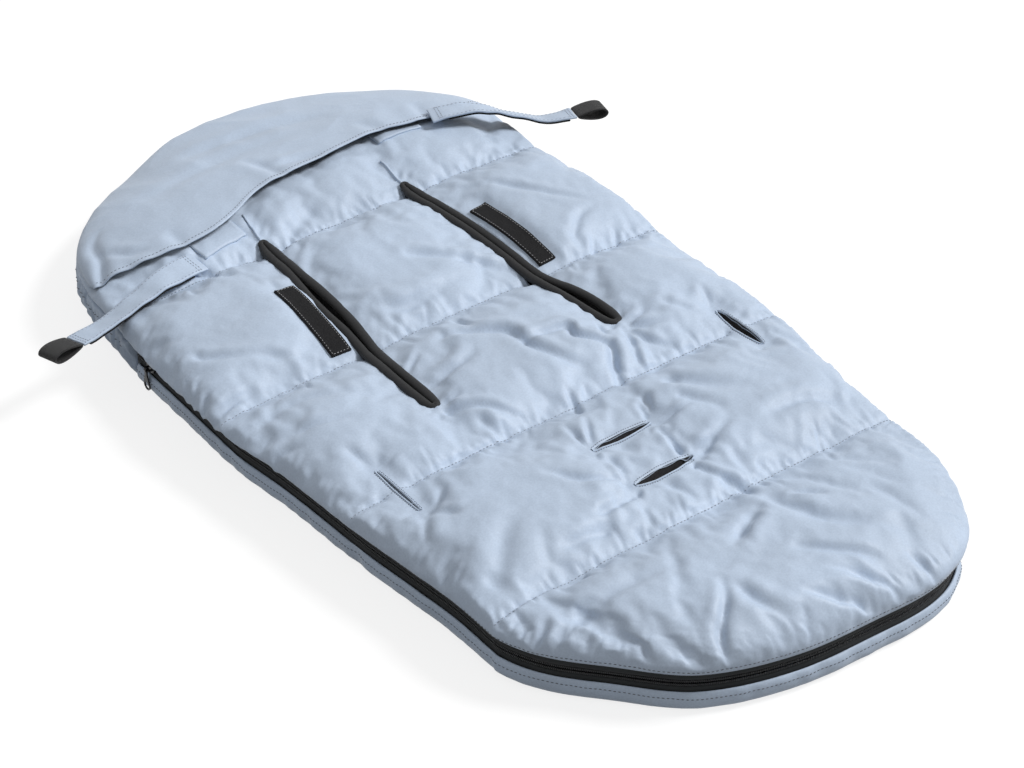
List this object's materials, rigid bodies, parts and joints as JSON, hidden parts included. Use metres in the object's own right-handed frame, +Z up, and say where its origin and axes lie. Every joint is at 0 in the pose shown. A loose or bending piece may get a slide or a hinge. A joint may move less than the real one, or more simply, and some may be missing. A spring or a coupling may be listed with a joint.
{
  "type": "stroller footmuff",
  "caption": "Padded zip-up footmuff for a pushchair, lying face down: quilted back with harness slits, seat pocket, hood rim and tie straps.",
  "frame": {"origin": "middle of the bounding box on the floor plane; the footmuff lies on its front cover with the quilted back on top", "axes": "+Z up out of the quilted back, +Y from the foot towards the hood, +X to the right seen from above with the hood away from the viewer"},
  "size_m": [0.6449, 0.929, 0.0886],
  "materials": {
    "shell_fabric": "smooth woven polyester with a soft sheen, quilted",
    "lining_fabric": "brushed black lining",
    "zip_tape": "matt woven tape",
    "zip_coil": "nylon coil",
    "zip_slider": "black coated metal",
    "hook_tape": "hook and loop tape",
    "webbing": "woven black webbing"
  },
  "bodies": {
    "front_cover": {"front_shell": "shell_fabric", "front_lining": "lining_fabric", "cover_cuff": "shell_fabric", "zip_tape_lower": "zip_tape", "zip_coil_lower": "zip_coil"},
    "back": {"zip_coil_upper": "zip_coil", "zip_tape_upper": "zip_tape", "back_foot_channel": "shell_fabric", "back_leg_channel": "shell_fabric", "back_hip_channel": "shell_fabric", "back_upper_left": "shell_fabric", "back_upper_middle": "shell_fabric", "back_upper_right": "shell_fabric", "back_shoulder_left": "shell_fabric", "back_shoulder_middle": "shell_fabric", "back_shoulder_right": "shell_fabric", "back_head_channel": "shell_fabric", "back_lining": "lining_fabric", "harness_left_lip": "webbing", "harness_right_lip": "webbing", "hip_left_lip": "shell_fabric", "hip_right_lip": "shell_fabric", "crotch_front_lip": "shell_fabric", "crotch_rear_lip": "shell_fabric", "hook_patch_left": "hook_tape", "hook_patch_right": "hook_tape", "anchor_strip_left": "shell_fabric", "anchor_strip_right": "shell_fabric", "seat_pocket": "shell_fabric", "hood_rim": "shell_fabric"},
    "left_strap": {"strap_left": "shell_fabric", "strap_hook_tape_left": "hook_tape", "strap_loop_left": "webbing"},
    "right_strap": {"strap_right": "shell_fabric", "strap_hook_tape_right": "hook_tape", "strap_loop_right": "webbing"},
    "left_slider": {"zip_slider_left": "zip_slider"},
    "right_slider": {"zip_slider_right": "zip_slider"},
    "left_pull": {"zip_pull_left": "zip_slider"},
    "right_pull": {"zip_pull_right": "zip_slider"}
  },
  "joints": [
    {"name": "cover_fold", "type": "hinge", "parent": "front_cover", "child": "back", "pos_m": [0.034, -0.46114, 0.0295], "axis": [1, 0, 0], "range_deg": [0, 150]},
    {"name": "left_strap_fold", "type": "hinge", "parent": "back", "child": "left_strap", "pos_m": [-0.14442, 0.23468, 0.06852], "axis": [-0.1677, 0.9512, 0.2589], "range_deg": [0, 140]},
    {"name": "right_strap_fold", "type": "hinge", "parent": "back", "child": "right_strap", "pos_m": [0.15075, 0.28746, 0.08325], "axis": [-0.3408, -0.9364, 0.0838], "range_deg": [0, 140]},
    {"name": "left_zip_slide", "type": "slide", "parent": "front_cover", "child": "left_slider", "axis": [0, -1, 0], "range_m": [0, 0.12]},
    {"name": "right_zip_slide", "type": "slide", "parent": "front_cover", "child": "right_slider", "axis": [0, -1, 0], "range_m": [0, 0.12]},
    {"name": "left_pull_swing", "type": "hinge", "parent": "left_slider", "child": "left_pull", "pos_m": [-0.24165, 0.1713, 0.0295], "axis": [0, 1, 0], "range_deg": [0, 120]},
    {"name": "right_pull_swing", "type": "hinge", "parent": "right_slider", "child": "right_pull", "pos_m": [0.22784, 0.1713, 0.0295], "axis": [0, -1, 0], "range_deg": [0, 120]}
  ]
}
